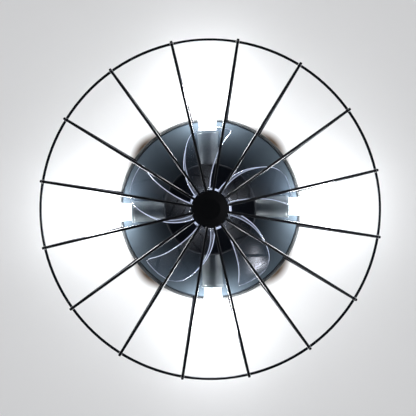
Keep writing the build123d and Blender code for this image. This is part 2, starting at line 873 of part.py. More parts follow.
def receiver_block(long, wide, low, high):
    # A box with rounded upright corners, centred on the receiver's place.
    shape = extrude(RectangleRounded(long, wide, receiver_round), high - low)
    return Pos(0, receiver_middle, canopy_floor_z + low) * shape


def receiver_case():
    inner_long = receiver_long - 2 * receiver_wall
    inner_wide = receiver_wide - 2 * receiver_wall
    box = receiver_block(receiver_long, receiver_wide, 0, receiver_tall)
    hollow = Pos(0, receiver_middle, canopy_floor_z) * Box(
        inner_long, inner_wide, 2 * receiver_tall, align=(Align.CENTER, Align.CENTER, Align.MIN))
    box -= Pos(0, 0, receiver_wall) * hollow
    post = barrel(board_post_radius, receiver_wall + board_stand, receiver_wall / 2)
    for x in (-1, 1):
        for y in (-1, 1):
            spot_x = x * (inner_long / 2 - 2 * board_post_radius)
            spot_y = receiver_middle + y * (inner_wide / 2 - 2 * board_post_radius)
            box += Pos(spot_x, spot_y, canopy_floor_z) * post
    return box


def receiver_lid():
    lid = receiver_block(receiver_long, receiver_wide, receiver_tall, receiver_tall + receiver_lid_thick)
    shrink = 2 * (receiver_wall + receiver_lip_gap)
    lip = Box(receiver_long - shrink, receiver_wide - shrink, receiver_lip,
              align=(Align.CENTER, Align.CENTER, Align.MAX))
    inner = Box(receiver_long - shrink - 2 * receiver_wall, receiver_wide - shrink - 2 * receiver_wall, receiver_lip,
                align=(Align.CENTER, Align.CENTER, Align.MAX))
    return lid + Pos(0, receiver_middle, canopy_floor_z + receiver_tall) * (lip - inner)


def receiver_board():
    # The control board with its two capacitors and its relay.
    long = receiver_long - 2 * receiver_wall - 2 * board_margin
    wide = receiver_wide - 2 * receiver_wall - 2 * board_margin
    base = canopy_floor_z + receiver_wall + board_stand
    top = base + board_thick
    board = Pos(0, receiver_middle, base) * Box(long, wide, board_thick, align=(Align.CENTER, Align.CENTER, Align.MIN))
    capacitor = barrel(board_capacitor_radius, top + board_capacitor_long, top)
    relay = Box(board_relay_long, board_relay_wide, board_relay_tall, align=(Align.CENTER, Align.CENTER, Align.MIN))
    fittings = [Pos(x * long / 4, receiver_middle, 0) * capacitor for x in (-1, 1)]
    return [board] + fittings + [Pos(0, receiver_middle, top) * relay]


# Everything as separate nodes

os.makedirs("parts", exist_ok=True)

save("ceiling_bracket", ceiling_bracket())
save("canopy_pan", canopy_pan())
save("canopy_screws", side_screws(2, canopy_radius, -bracket_screw_drop))
save("terminal_block", terminal_block())
save("receiver_case", receiver_case())
save("receiver_lid", receiver_lid())
save("receiver_board", receiver_board())
save("wire_grommets", around(lamp_count, lead_exit_radius, 0, grommet()))
save("lamp_leads", lamp_leads())

save("motor_housing", motor_housing())
save("floor_screws", floor_screws())
save("motor_dampers", motor_dampers())
save("motor_upper_bell", motor_upper_bell())
save("motor_lower_bell", motor_lower_bell())
save("motor_tie_screws", tie_screws())
save("stator_core", stator_core())
save("stator_windings", stator_windings())
save("upper_bearing", bearing_outer(upper_bearing_z))
save("lower_bearing", bearing_outer(lower_bearing_z))

save("bearing_inner_rings", bearing_inner_rings())
save("rotor", rotor())
save("motor_shaft", motor_shaft())
save("impeller", impeller())
save("spinner_nut", spinner_nut())

lamp_piece = [Rot(0, 0, 360 / lamp_count * k) for k in range(lamp_count)]
save("socket_shells", [turn * outward(socket_shell(), lamp_z) for turn in lamp_piece])
save("socket_contacts", [turn * outward(socket_contact(), lamp_z) for turn in lamp_piece])
save("socket_nuts", [turn * outward(socket_nut(), lamp_z) for turn in lamp_piece])
for number, turn in enumerate(lamp_piece, 1):
    save(f"lampholder_{number}", turn * outward(lampholder(), lamp_z))
    save(f"bulb_cap_{number}", turn * outward(bulb_cap(), lamp_z))
    save(f"bulb_globe_{number}", turn * outward(bulb_globe(), lamp_z))

save("cage_ring", Pos(0, 0, ring_z) * Torus(ring_radius, ring_wire / 2))
save("cage_hoop", Pos(0, 0, hoop_z) * Torus(hoop_radius, hoop_wire / 2))
save("cage_disc", cage_disc())
save("cage_tabs", cage_tabs())
save("cage_screws", side_screws(tab_count, canopy_radius + tab_thick + seat_gap, hoop_z - tab_screw_below_hoop))
for number in range(rib_count):
    save(f"cage_rib_{number + 1:02d}", cage_rib(number))
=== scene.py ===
import json
import math

import bmesh
import bpy
from mathutils import Matrix, Vector, noise

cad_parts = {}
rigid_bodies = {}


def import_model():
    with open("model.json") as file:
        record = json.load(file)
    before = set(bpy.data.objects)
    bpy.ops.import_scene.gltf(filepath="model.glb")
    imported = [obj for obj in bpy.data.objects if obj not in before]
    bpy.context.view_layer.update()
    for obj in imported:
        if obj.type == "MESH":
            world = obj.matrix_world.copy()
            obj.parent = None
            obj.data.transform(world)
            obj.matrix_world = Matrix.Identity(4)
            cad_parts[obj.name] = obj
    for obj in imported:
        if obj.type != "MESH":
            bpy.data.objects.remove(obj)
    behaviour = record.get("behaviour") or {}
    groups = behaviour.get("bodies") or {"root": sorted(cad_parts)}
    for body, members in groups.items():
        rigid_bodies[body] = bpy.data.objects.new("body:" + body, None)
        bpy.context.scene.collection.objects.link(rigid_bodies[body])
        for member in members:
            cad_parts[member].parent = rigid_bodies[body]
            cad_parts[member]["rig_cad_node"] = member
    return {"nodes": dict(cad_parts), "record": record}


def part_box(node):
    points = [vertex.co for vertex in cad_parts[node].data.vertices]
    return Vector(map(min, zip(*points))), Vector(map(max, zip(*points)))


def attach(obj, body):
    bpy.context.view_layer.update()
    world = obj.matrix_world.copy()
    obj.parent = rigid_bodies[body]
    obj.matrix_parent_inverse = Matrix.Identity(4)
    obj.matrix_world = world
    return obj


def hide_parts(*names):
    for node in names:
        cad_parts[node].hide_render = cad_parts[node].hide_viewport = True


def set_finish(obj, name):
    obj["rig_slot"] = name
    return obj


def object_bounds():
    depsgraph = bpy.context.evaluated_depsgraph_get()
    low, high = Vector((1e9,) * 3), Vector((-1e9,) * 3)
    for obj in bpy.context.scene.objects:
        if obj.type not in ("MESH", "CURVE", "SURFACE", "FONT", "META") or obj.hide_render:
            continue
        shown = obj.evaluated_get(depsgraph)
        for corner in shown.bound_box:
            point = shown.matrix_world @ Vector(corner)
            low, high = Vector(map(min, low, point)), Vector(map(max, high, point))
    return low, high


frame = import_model()
cadLow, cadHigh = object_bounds()
nodes = frame["nodes"]
slotOfNode = {part["node"]: part["material_slot"] for part in frame["record"]["subparts"]}
print("frame loaded:", len(nodes), "nodes")


# Camera: straight below the fan, looking up, as the photograph was taken

cameraView = {
    "belowCeiling": 1.245,
    "focalPixels": 780.0,
    "framePixels": 416.0,
    "axisRight": 2.2,        # how far right of the middle the fan's axis appears, in pixels
    "axisDown": 1.2,
    "roll": 1.9,             # degrees
    "sensor": 36.0,
    "clip": (0.05, 50.0),
}


def makeCamera(view):
    data = bpy.data.cameras.new("fanCamera")
    data.sensor_width = view["sensor"]
    data.lens = view["sensor"] * view["focalPixels"] / view["framePixels"]
    data.shift_x = -view["axisRight"] / view["framePixels"]
    data.shift_y = view["axisDown"] / view["framePixels"]
    data.clip_start, data.clip_end = view["clip"]
    camera = bpy.data.objects.new("fanCamera", data)
    bpy.context.scene.collection.objects.link(camera)
    lookUp = Matrix.Rotation(math.radians(view["roll"]), 4, "Z") @ Matrix.Rotation(math.pi, 4, "X")
    camera.matrix_world = Matrix.Translation((0, 0, -view["belowCeiling"])) @ lookUp
    bpy.context.scene.camera = camera


makeCamera(cameraView)
bpy.context.scene.view_settings.view_transform = "Standard"
print("camera ready")


# Mesh helpers

def makeObject(name, verts, faces, sharpAngle=35.0):
    mesh = bpy.data.meshes.new(name)
    mesh.from_pydata([tuple(v) for v in verts], [], faces)
    mesh.validate()
    piece = bpy.data.objects.new(name, mesh)
    bpy.context.scene.collection.objects.link(piece)
    tidyMesh(piece, sharpAngle)
    return piece


def tidyMesh(piece, sharpAngle=35.0, mergeDistance=1e-6):
    # Joins doubled points, turns every face outwards and keeps only real edges sharp.
    work = bmesh.new()
    work.from_mesh(piece.data)
    bmesh.ops.remove_doubles(work, verts=work.verts, dist=mergeDistance)
    bmesh.ops.dissolve_degenerate(work, edges=work.edges, dist=mergeDistance)
    bmesh.ops.recalc_face_normals(work, faces=work.faces)
    work.to_mesh(piece.data)
    work.free()
    for face in piece.data.polygons:
        face.use_smooth = True
    piece.data.set_sharp_from_angle(angle=math.radians(sharpAngle))


def lathe(profile, segments, closed=True):
    # Turns (radius, height) points about Z. A closed profile joins its last point to its first.
    verts, faces = [], []
    for k in range(segments):
        angle = 2 * math.pi * k / segments
        verts += [(r * math.cos(angle), r * math.sin(angle), z) for r, z in profile]
    count = len(profile)
    last = count if closed else count - 1
    for k in range(segments):
        here, there = k * count, (k + 1) % segments * count
        for j in range(last):
            nextPoint = (j + 1) % count
            faces.append((here + j, there + j, there + nextPoint, here + nextPoint))
    return verts, faces


def softCorners(points, steps=4):
    # Rounds the corners of a closed (radius, height, rounding) outline with small arcs.
    outline = []
    for k, (x, y, rounding) in enumerate(points):
        corner = Vector((x, y))
        if rounding <= 0:
            outline.append((x, y))
            continue
        before = (Vector(points[k - 1][:2]) - corner).normalized()
        after = (Vector(points[(k + 1) % len(points)][:2]) - corner).normalized()
        half = before.angle(after) / 2
        reach = rounding / math.tan(half)
        middle = corner + (before + after).normalized() * rounding / math.sin(half)
        start, end = corner + before * reach - middle, corner + after * reach - middle
        turn = start.angle_signed(end)
        for step in range(steps + 1):
            spoke = Matrix.Rotation(-turn * step / steps, 2) @ start
            outline.append(tuple(middle + spoke))
    return outline


def outwardAt(turn, height):
    # Places a piece made along Z so that it points out from the axis at a height.
    lift = Matrix.Translation((0, 0, height))
    return Matrix.Rotation(turn, 4, "Z") @ lift @ Matrix.Rotation(math.pi / 2, 4, "Y")


def place(piece, matrix, body, slot):
    piece.data.transform(matrix)
    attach(piece, body)
    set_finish(piece, slot)


def booleanUnion(piece, others):
    # Joins closed meshes into one skin with no faces left inside.
    for other in others:
        step = piece.modifiers.new("join", "BOOLEAN")
        step.operation, step.solver, step.object = "UNION", "EXACT", other
    depsgraph = bpy.context.evaluated_depsgraph_get()
    joined = bpy.data.meshes.new_from_object(piece.evaluated_get(depsgraph))
    piece.modifiers.clear()
    piece.data = joined
    for other in others:
        bpy.data.objects.remove(other)


# Impeller: a clear hub cup with five swept, rounded blades

impeller = {
    "bladeCount": 5,
    "firstBlade": 56.6,          # degrees, tip middle of blade one
    "bladeMiddle": -0.117,
    "thickness": 0.0020,
    "edgeRound": 0.0012,
    "drop": 0.022,               # leading edge above trailing edge
    "camber": 0.18,              # rise of the middle, as a share of half the chord
    "camberSpread": 1.25,        # where that rise would be gone, in half chords from the middle
    "rootRadius": 0.0290,
    "leadTip": 0.1203,
    "trailTip": 0.1175,
    "tipBulge": 0.0012,
    "leadCorner": 0.10,          # rounding of the tip's corners, as shares of the chord
    "trailCorner": 0.12,
    "cornerFrom": 0.93,
    "rows": 34,
    "columns": 26,
    "usualLength": 0.09,         # for the spacing of rows and columns near the rounded edges
    "usualChord": 0.05,
    "lipWidth": 0.0062,          # strip along the leading edge, widest at the root
    "lipEnd": 0.098,
    "lipTaper": 0.7,
    "edgeShine": (1.0, 0.50, 0.32),      # leading edge, trailing edge, tip
    "hubShine": 0.40,
    "noShine": 0.05,             # distance stored where no lit edge is near
    "hubSegments": 128,
    "hubRadius": 0.030,
    "hubWall": 0.0018,
    "hubFloor": 0.0025,
    "hubTop": -0.105,
    "hubRim": 0.0005,            # rounding of the cup's lower edge
    "hubLip": 0.0006,
    "hubInside": 0.0012,
    "hubRing": 0.0008,           # the lit ring lies this far inside the lower edge
    "boss": 0.009,
    "bossTop": -0.1035,
    "bossRound": 0.001,
    "bore": 0.00405,
    "boreRound": 0.0003,
    "spokes": 5,
    "spokeThick": 0.0015,
    "spokeTall": 0.015,
    "spokeRaise": 0.0012,
    "spokeBite": 0.0008,         # how far a spoke runs into the boss
    "spokeEnd": 0.6,             # and into the cup's wall, as a share of it
    "spokeRound": 0.0004,
    # the blade's edges as (radius, degrees from the middle of its tip)
    "leadLine": [(0.027, -50.5), (0.050, -42.0), (0.073, -33.0),
                 (0.092, -24.5), (0.111, -16.0), (0.121, -7.5)],
    "trailLine": [(0.027, -2.0), (0.046, 0.8), (0.069, 5.0),
                  (0.092, 9.3), (0.110, 13.8), (0.121, 16.8)],
}


def lineAngle(line, radius):
    # The angle of a blade edge at a radius, on a smooth curve through its points.
    for k in range(len(line) - 1):
        if radius <= line[k + 1][0] or k == len(line) - 2:
            break
    before, start, end, after = line[max(k - 1, 0)], line[k], line[k + 1], line[min(k + 2, len(line) - 1)]
    width = end[0] - start[0]
    t = (radius - start[0]) / width
    slopeStart = (end[1] - before[1]) / (end[0] - before[0]) * width
    slopeEnd = (after[1] - start[1]) / (after[0] - start[0]) * width
    return ((2 * t ** 3 - 3 * t ** 2 + 1) * start[1] + (t ** 3 - 2 * t ** 2 + t) * slopeStart
            + (3 * t ** 2 - 2 * t ** 3) * end[1] + (t ** 3 - t ** 2) * slopeEnd)


def edgeSteps(count, length, rounding, steps=5):
    # Shares from 0 to 1 that crowd inside the rounding at the far end.
    share = rounding / length
    near = [1 - share * (1 - math.cos(math.pi / 2 * k / steps)) for k in range(steps + 1)]
    even = [(1 - share) * k / count for k in range(count)]
    return even + near[::-1]


def bladePoint(shape, u, s):
    # Plan place and height of the blade's middle surface, u along the blade and s across it.
    leadRadius = shape["rootRadius"] + (shape["leadTip"] - shape["rootRadius"]) * u
    trailRadius = shape["rootRadius"] + (shape["trailTip"] - shape["rootRadius"]) * u
    leadAngle = lineAngle(shape["leadLine"], leadRadius)
    trailAngle = lineAngle(shape["trailLine"], trailRadius)
    corner = max(0.0, (u - shape["cornerFrom"]) / (1 - shape["cornerFrom"]))
    pull = 1 - math.sqrt(max(0.0, 1 - corner ** 2))
    share = shape["leadCorner"] * pull + s * (1 - (shape["leadCorner"] + shape["trailCorner"]) * pull)
    angle = math.radians(leadAngle + (trailAngle - leadAngle) * share)
    bulge = shape["tipBulge"] * u ** 3 * 4 * share * (1 - share)
    radius = leadRadius + (trailRadius - leadRadius) * share + bulge
    halfChord = radius * math.radians(trailAngle - leadAngle) / 2
    across = 2 * share - 1
    rise = shape["camber"] * halfChord * (1 - (across / shape["camberSpread"]) ** 2)
    height = rise - shape["drop"] / 2 * across
    return Vector((radius * math.cos(angle), radius * math.sin(angle), height))


def makeBlade(shape, number):
    rounding = shape["edgeRound"]
    across = edgeSteps(shape["columns"] // 2, shape["usualChord"] / 2, rounding)
    half = [0.5 + 0.5 * v for v in across]
    columns = sorted(set([round(v, 7) for v in half] + [round(1 - v, 7) for v in half]))
    along = edgeSteps(shape["rows"], shape["usualLength"], rounding)
    turn = Matrix.Rotation(math.radians(shape["firstBlade"] + 360 / shape["bladeCount"] * number), 3, "Z")
    middle = Vector((0, 0, shape["bladeMiddle"]))
    step = 1e-3                  # for the slope of the surface at a point
    layers = {1: [], -1: []}
    for u in along:
        lead, trail = bladePoint(shape, u, 0), bladePoint(shape, u, 1)
        chord = (trail - lead).length
        for s in columns:
            point = bladePoint(shape, u, s)
            alongWay = bladePoint(shape, min(u + step, 1), s) - bladePoint(shape, u - step, s)
            acrossWay = bladePoint(shape, u, min(s + step, 1)) - bladePoint(shape, u, max(s - step, 0))
            normal = acrossWay.cross(alongWay).normalized()
            toEdge = min(s * chord, (1 - s) * chord, (1 - u) * (shape["leadTip"] - shape["rootRadius"]))
            depth = 1 - min(toEdge / rounding, 1.0)
            thick = shape["thickness"] / 2 * math.sqrt(max(0.0, 1 - depth ** 2))
            for side in (1, -1):
                layers[side].append(turn @ (point + normal * side * thick + middle))
    wide = len(columns)
    verts = layers[1] + layers[-1]
    shift = len(layers[1])
    faces = []
    for i in range(len(along) - 1):
        for j in range(wide - 1):
            a = i * wide + j
            faces.append((a, a + 1, a + wide + 1, a + wide))
            faces.append((shift + a, shift + a + wide, shift + a + wide + 1, shift + a + 1))
    for j in range(wide - 1):
        faces.append((j, shift + j, shift + j + 1, j + 1))
    return makeObject(f"bladeDraft{number}", verts, faces)


def tipRadius(shape, share):
    # How far out the blade's tip reaches at a share of the way from leading to trailing edge.
    bulge = shape["tipBulge"] * 4 * share * (1 - share)
    return shape["leadTip"] + (shape["trailTip"] - shape["leadTip"]) * share + bulge


def markEdges(piece, shape, bottom):
    # Stores how far each point is from the nearest lit edge, and from the inner line of the leading lip.
    onHub = 2e-5                 # a point this near the cup's wall counts as on a blade
    nearHub = 2e-4
    edge = piece.data.attributes.new("edgeDistance", "FLOAT", "POINT")
    lip = piece.data.attributes.new("lipDistance", "FLOAT", "POINT")
    shine = piece.data.attributes.new("edgeShine", "FLOAT", "POINT")
    step = 360 / shape["bladeCount"]
    for vert in piece.data.vertices:
        x, y, z = vert.co
        radius = math.hypot(x, y)
        toEdge, toLip, glow = shape["noShine"], shape["noShine"], shape["hubShine"]
        if radius > shape["hubRadius"] - onHub:
            angle = math.degrees(math.atan2(y, x)) - shape["firstBlade"]
            lead, trail = lineAngle(shape["leadLine"], radius), lineAngle(shape["trailLine"], radius)
            turned = (angle - lead + step / 4) % step + lead - step / 4
            if turned < trail + step / 4:
                share = min(max((turned - lead) / (trail - lead), 0), 1)
                fromLead = radius * math.radians(turned - lead)
                fromTrail = radius * math.radians(trail - turned)
                away = [fromLead, fromTrail, tipRadius(shape, share) - radius]
                toEdge = max(min(away), 0)
                glow = shape["edgeShine"][away.index(min(away))]
                reach = (radius - shape["hubRadius"]) / (shape["lipEnd"] - shape["hubRadius"])
                toLip = fromLead - shape["lipWidth"] * max(1 - reach, 0) ** shape["lipTaper"]
        if radius < shape["hubRadius"] + nearHub:
            fromRim = math.hypot(radius - shape["hubRadius"] + shape["hubRing"],
                                 z - bottom - shape["hubRing"])
            if fromRim < toEdge:
                toEdge, glow = fromRim, shape["hubShine"]
        edge.data[vert.index].value = toEdge
        lip.data[vert.index].value = toLip
        shine.data[vert.index].value = glow


def makeHub(shape, bottom):
    radius, inside, top = shape["hubRadius"], shape["hubRadius"] - shape["hubWall"], shape["hubTop"]
    floor = bottom + shape["hubFloor"]
    outline = softCorners([
        (shape["bore"], bottom, shape["boreRound"]),
        (radius, bottom, shape["hubRim"]),
        (radius, top, shape["hubLip"]),
        (inside, top, shape["hubLip"]),
        (inside, floor, shape["hubInside"]),
        (shape["boss"], floor, shape["bossRound"]),
        (shape["boss"], shape["bossTop"], shape["hubLip"]),
        (shape["bore"], shape["bossTop"], shape["boreRound"]),
    ])
    return makeObject("hubDraft", *lathe(outline, shape["hubSegments"]))


def makeSpoke(shape, number, bottom):
    inner = shape["boss"] - shape["spokeBite"]
    outer = shape["hubRadius"] - shape["hubWall"] * shape["spokeEnd"]
    low, high = bottom + shape["spokeRaise"], bottom + shape["spokeTall"]
    half = shape["spokeThick"] / 2
    work = bmesh.new()
    bmesh.ops.create_cube(work, size=1.0)
    bmesh.ops.scale(work, verts=work.verts, vec=(outer - inner, 2 * half, high - low))
    bmesh.ops.translate(work, verts=work.verts, vec=((outer + inner) / 2, 0, (high + low) / 2))
    bmesh.ops.bevel(work, geom=work.edges[:], offset=shape["spokeRound"], segments=2, affect="EDGES")
    bmesh.ops.rotate(work, verts=work.verts, cent=(0, 0, 0),
                     matrix=Matrix.Rotation(2 * math.pi / shape["spokes"] * (number + 0.5), 3, "Z"))
    mesh = bpy.data.meshes.new("spokeDraft")
    work.to_mesh(mesh)
    work.free()
    piece = bpy.data.objects.new("spokeDraft", mesh)
    bpy.context.scene.collection.objects.link(piece)
    return piece


def makeImpeller(shape):
    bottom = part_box("impeller")[0].z
    hub = makeHub(shape, bottom)
    blades = [makeBlade(shape, k) for k in range(shape["bladeCount"])]
    spokes = [makeSpoke(shape, k, bottom) for k in range(shape["spokes"])]
    booleanUnion(hub, spokes + blades)
    tidyMesh(hub, sharpAngle=32.0)
    markEdges(hub, shape, bottom)
    hub.name = "clearImpeller"
    place(hub, Matrix.Identity(4), "impeller_assembly", "clear_plastic")
    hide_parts("impeller")


makeImpeller(impeller)
print("impeller made")


# Bulbs: opal glass on a threaded cap

bulb = {
    "count": 4,
    "radius": 0.030,
    "neckRadius": 0.013,
    "hollow": 0.045,         # radius of the curve between neck and round end
    "steps": (4, 14, 42),    # rings along the neck, the hollow curve and the round end
    # where the glass meets its cap: (in from the neck, along)
    "foot": [(0.0012, 0.0), (0.0004, 0.0002), (0.0, 0.001)],
    "seam": 0.0002,          # the glass starts this far inside the cap
    "glassSegments": 96,
    "capRadius": 0.0130,
    "capSegments": 72,
    # contact and black insulator: (radius, distance from the tip)
    "capTip": [(0.0006, 0.0), (0.00276, 0.0001), (0.0046, 0.0008),
               (0.0048, 0.0015), (0.0095, 0.0032), (0.0107, 0.0042)],
    # plain collar: (radius, distance from the glass)
    "capCollar": [(0.0128, 0.0028), (0.0130, 0.0018), (0.0130, 0.0004), (0.0124, 0.0), (0.0006, 0.0)],
    "threadFrom": 0.0052,
    "threadTo": 0.0035,
    "threadPitch": 0.0036,
    "threadDeep": 0.00065,
    "threadRows": 14,        # rows of points in one turn
    "threadRunOut": 0.8,     # turns over which the thread fades at each end
    "threadFlat": 0.8,
}


def bulbProfile(shape, foot, tip):
    # Half outline of the glass, from its middle at the foot to its tip.
    neck, radius, hollow = shape["neckRadius"], shape["radius"], shape["hollow"]
    middle = tip - radius
    bend = middle - math.sqrt((radius + hollow) ** 2 - (neck + hollow) ** 2)
    ends = math.atan2(middle - bend, neck + hollow)
    neckSteps, curveSteps, endSteps = shape["steps"]
    profile = [(0, foot)] + [(neck - inwards, foot + along) for inwards, along in shape["foot"]]
    profile += [(neck, foot + (bend - foot) * k / neckSteps) for k in range(1, neckSteps)]
    for k in range(curveSteps + 1):
        angle = ends * k / curveSteps
        profile.append((neck + hollow - hollow * math.cos(angle), bend + hollow * math.sin(angle)))
    for k in range(1, endSteps + 1):
        angle = -ends + (math.pi / 2 + ends) * k / endSteps
        profile.append((max(radius * math.cos(angle), 0), middle + radius * math.sin(angle)))
    return profile


def ringPoints(radii, z):
    # One ring of points about Z, with a radius for each.
    angles = [2 * math.pi * k / len(radii) for k in range(len(radii))]
    return [(r * math.cos(angle), r * math.sin(angle), z) for r, angle in zip(radii, angles)]


def threadedBarrel(shape, start, end):
    # A rolled screw thread: the wall swings in and out as it winds up the barrel.
    pitch, segments = shape["threadPitch"], shape["capSegments"]
    runOut = pitch * shape["threadRunOut"]
    rows = int((end - start) / pitch * shape["threadRows"])
    rings = []
    for i in range(rows + 1):
        z = start + (end - start) * i / rows
        fade = max(0.0, min(1.0, (z - start) / runOut, (end - z) / runOut))
        waves = [0.5 - 0.5 * math.cos(2 * math.pi * (z / pitch - k / segments)) for k in range(segments)]
        radii = [shape["capRadius"] - shape["threadDeep"] * (1 - fade * wave ** shape["threadFlat"])
                 for wave in waves]
        rings.append(ringPoints(radii, z))
    return rings


def makeCap(shape, name, start, end):
    # Contact, black glass insulator and the threaded shell, from the tip towards the glass.
    segments = shape["capSegments"]
    rings = [ringPoints([radius] * segments, start + along) for radius, along in shape["capTip"]]
    rings += threadedBarrel(shape, start + shape["threadFrom"], end - shape["threadTo"])
    rings += [ringPoints([radius] * segments, end - along) for radius, along in shape["capCollar"]]
    verts = [point for ring in rings for point in ring]
    faces = []
    for i in range(len(rings) - 1):
        for k in range(segments):
            following = (k + 1) % segments
            faces.append((i * segments + k, i * segments + following,
                          (i + 1) * segments + following, (i + 1) * segments + k))
    faces.append(tuple(range(segments))[::-1])
    faces.append(tuple((len(rings) - 1) * segments + k for k in range(segments)))
    return makeObject(name, verts, faces, sharpAngle=50.0)


def makeBulbs(shape):
    low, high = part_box("bulb_globe_1")
    capLow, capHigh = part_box("bulb_cap_1")
    height = (low.z + high.z) / 2
    for k in range(shape["count"]):
        turn = outwardAt(2 * math.pi / shape["count"] * k, height)
        body = f"bulb_{k + 1}"
        profile = bulbProfile(shape, capHigh.x - shape["seam"], high.x)
        skin = lathe(profile, shape["glassSegments"], closed=False)
        globe = makeObject(f"bulbGlass{k + 1}", *skin, sharpAngle=60.0)
        place(globe, turn, body, "opal_glass")
        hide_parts(f"bulb_globe_{k + 1}")
        cap = makeCap(shape, f"bulbCap{k + 1}", capLow.x, capHigh.x)
        place(cap, turn, body, "lamp_cap")
        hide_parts(f"bulb_cap_{k + 1}")


makeBulbs(bulb)
print("bulbs made")


# Welds where the cage's wires cross

weld = {
    "ribCount": 16,
    "ribAngle": 11.25,           # degrees
    "lumps": 0.00022,
    "lumpSize": 1.7,             # lumps across half a bead
    # middle (outwards, sideways, up) and half size (outwards, sideways, up) of each bead at a rib
    "beads": [
        ((0.2500, 0.0000, -0.0971), (0.0026, 0.0030, 0.0010)),       # lower wire and ring
        ((0.2503, 0.0000, -0.0929), (0.0026, 0.0030, 0.0010)),       # upper wire and ring
        ((0.1402, 0.0027, -0.0218), (0.0020, 0.0028, 0.0012)),       # upper wire and hoop
        ((0.2498, 0.0000, -0.0993), (0.0019, 0.00208, 0.00208)),     # press mark on the lower wire
    ],
}


def addBead(work, shape, centre, size, turn, seed):
    made = bmesh.ops.create_icosphere(work, subdivisions=3, radius=1.0)
    for vert in made["verts"]:
        rough = noise.noise(vert.co * shape["lumpSize"] + Vector((seed, 0, 0)))
        lump = 1 + shape["lumps"] / max(size) * rough
        shaped = Vector([vert.co[k] * size[k] for k in range(3)]) * lump
        vert.co = turn @ (shaped + Vector(centre))


def makeWelds(shape):
    work = bmesh.new()
    for k in range(shape["ribCount"]):
        turn = Matrix.Rotation(math.radians(shape["ribAngle"] + 360 / shape["ribCount"] * k), 3, "Z")
        for j, (centre, size) in enumerate(shape["beads"]):
            addBead(work, shape, centre, size, turn, k + 20 * j)
    mesh = bpy.data.meshes.new("cageWelds")
    work.to_mesh(mesh)
    work.free()
    piece = bpy.data.objects.new("cageWelds", mesh)
    bpy.context.scene.collection.objects.link(piece)
    tidyMesh(piece, sharpAngle=80.0)
    place(piece, Matrix.Identity(4), "fan_frame", "black_steel")


makeWelds(weld)
print("welds made")


# Shader building blocks

# where noise or slope begins to count and where it counts in full
spans = {
    "drift": (0.3, 0.7),
    "edge": (0.995, 0.90),       # cosine between the rounded and the real normal
    "worn": (0.42, 0.62),
    "upward": (0.2, 1.0),        # upward part of the normal
    "clouds": (0.35, 0.7),
    "specks": (0.35, 0.65),
    "paintedLightAndDust": (0.3, 0.7),
    "folds": (0.35, 0.65),
}


def addNode(tree, kind, settings=None, **values):
    node = tree.nodes.new(kind)
    for key, value in (settings or {}).items():
        setattr(node, key, value)
    for key, value in values.items():
        setSocket(tree, node.inputs[key.replace("_", " ")], value)
    return node


def setSocket(tree, socket, value):
    if isinstance(value, bpy.types.NodeSocket):
        tree.links.new(value, socket)
    else:
        socket.default_value = value


def mathNode(tree, operation, first, second=0.0, clamp=False):
    node = addNode(tree, "ShaderNodeMath", {"operation": operation, "use_clamp": clamp})
    setSocket(tree, node.inputs[0], first)
    setSocket(tree, node.inputs[1], second)
    return node.outputs[0]


def mixColour(tree, factor, first, second):
    node = addNode(tree, "ShaderNodeMix", {"data_type": "RGBA"})
    setSocket(tree, node.inputs[0], factor)
    setSocket(tree, node.inputs[6], first)
    setSocket(tree, node.inputs[7], second)
    return node.outputs[2]


def mapRange(tree, value, fromLow, fromHigh, toLow, toHigh):
    node = addNode(tree, "ShaderNodeMapRange", Value=value, From_Min=fromLow, From_Max=fromHigh,
                   To_Min=toLow, To_Max=toHigh)
    return node.outputs[0]


def newGroup(name, inputs, outputs):
    group = bpy.data.node_groups.new(name, "ShaderNodeTree")
    for label, value in inputs.items():
        socket = group.interface.new_socket(label, in_out="INPUT", socket_type="NodeSocketFloat")
        socket.default_value = value
    for label in outputs:
        group.interface.new_socket(label, in_out="OUTPUT", socket_type="NodeSocketFloat")
    return group, group.nodes.new("NodeGroupInput"), group.nodes.new("NodeGroupOutput")


def makeGrainGroup():
    # Fine lumps of a sprayed or moulded skin, with a slow drift in gloss.
    group, given, out = newGroup("surfaceGrain", {"Size": 0.0008, "Drift Size": 0.03}, ["Height", "Drift"])
    place3d = addNode(group, "ShaderNodeTexCoord").outputs["Object"]
    fineScale = mathNode(group, "DIVIDE", 1.0, given.outputs["Size"])
    slowScale = mathNode(group, "DIVIDE", 1.0, given.outputs["Drift Size"])
    fine = addNode(group, "ShaderNodeTexNoise", Vector=place3d, Scale=fineScale, Detail=3.0, Roughness=0.55)
    slow = addNode(group, "ShaderNodeTexNoise", Vector=place3d, Scale=slowScale, Detail=4.0, Roughness=0.6)
    group.links.new(fine.outputs[0], out.inputs["Height"])
    group.links.new(slow.outputs[0], out.inputs["Drift"])
    return group


def makeWearGroup():
    # Rubbed edges: where a rounded normal leaves the real one, broken up by noise.
    group, given, out = newGroup("edgeWear", {"Width": 0.0006, "Breakup": 0.006}, ["Mask"])
    rounded = addNode(group, "ShaderNodeBevel", {"samples": 4}, Radius=given.outputs["Width"])
    real = addNode(group, "ShaderNodeNewGeometry").outputs["Normal"]
    dot = addNode(group, "ShaderNodeVectorMath", {"operation": "DOT_PRODUCT"})
    group.links.new(rounded.outputs[0], dot.inputs[0])
    group.links.new(real, dot.inputs[1])
    edge = mapRange(group, dot.outputs["Value"], *spans["edge"], 0.0, 1.0)
    scale = mathNode(group, "DIVIDE", 1.0, given.outputs["Breakup"])
    place3d = addNode(group, "ShaderNodeTexCoord").outputs["Object"]
    patches = addNode(group, "ShaderNodeTexNoise", Vector=place3d, Scale=scale, Detail=5.0, Roughness=0.7)
    broken = mapRange(group, patches.outputs[0], *spans["worn"], 0.0, 1.0)
    group.links.new(mathNode(group, "MULTIPLY", edge, broken), out.inputs["Mask"])
    return group


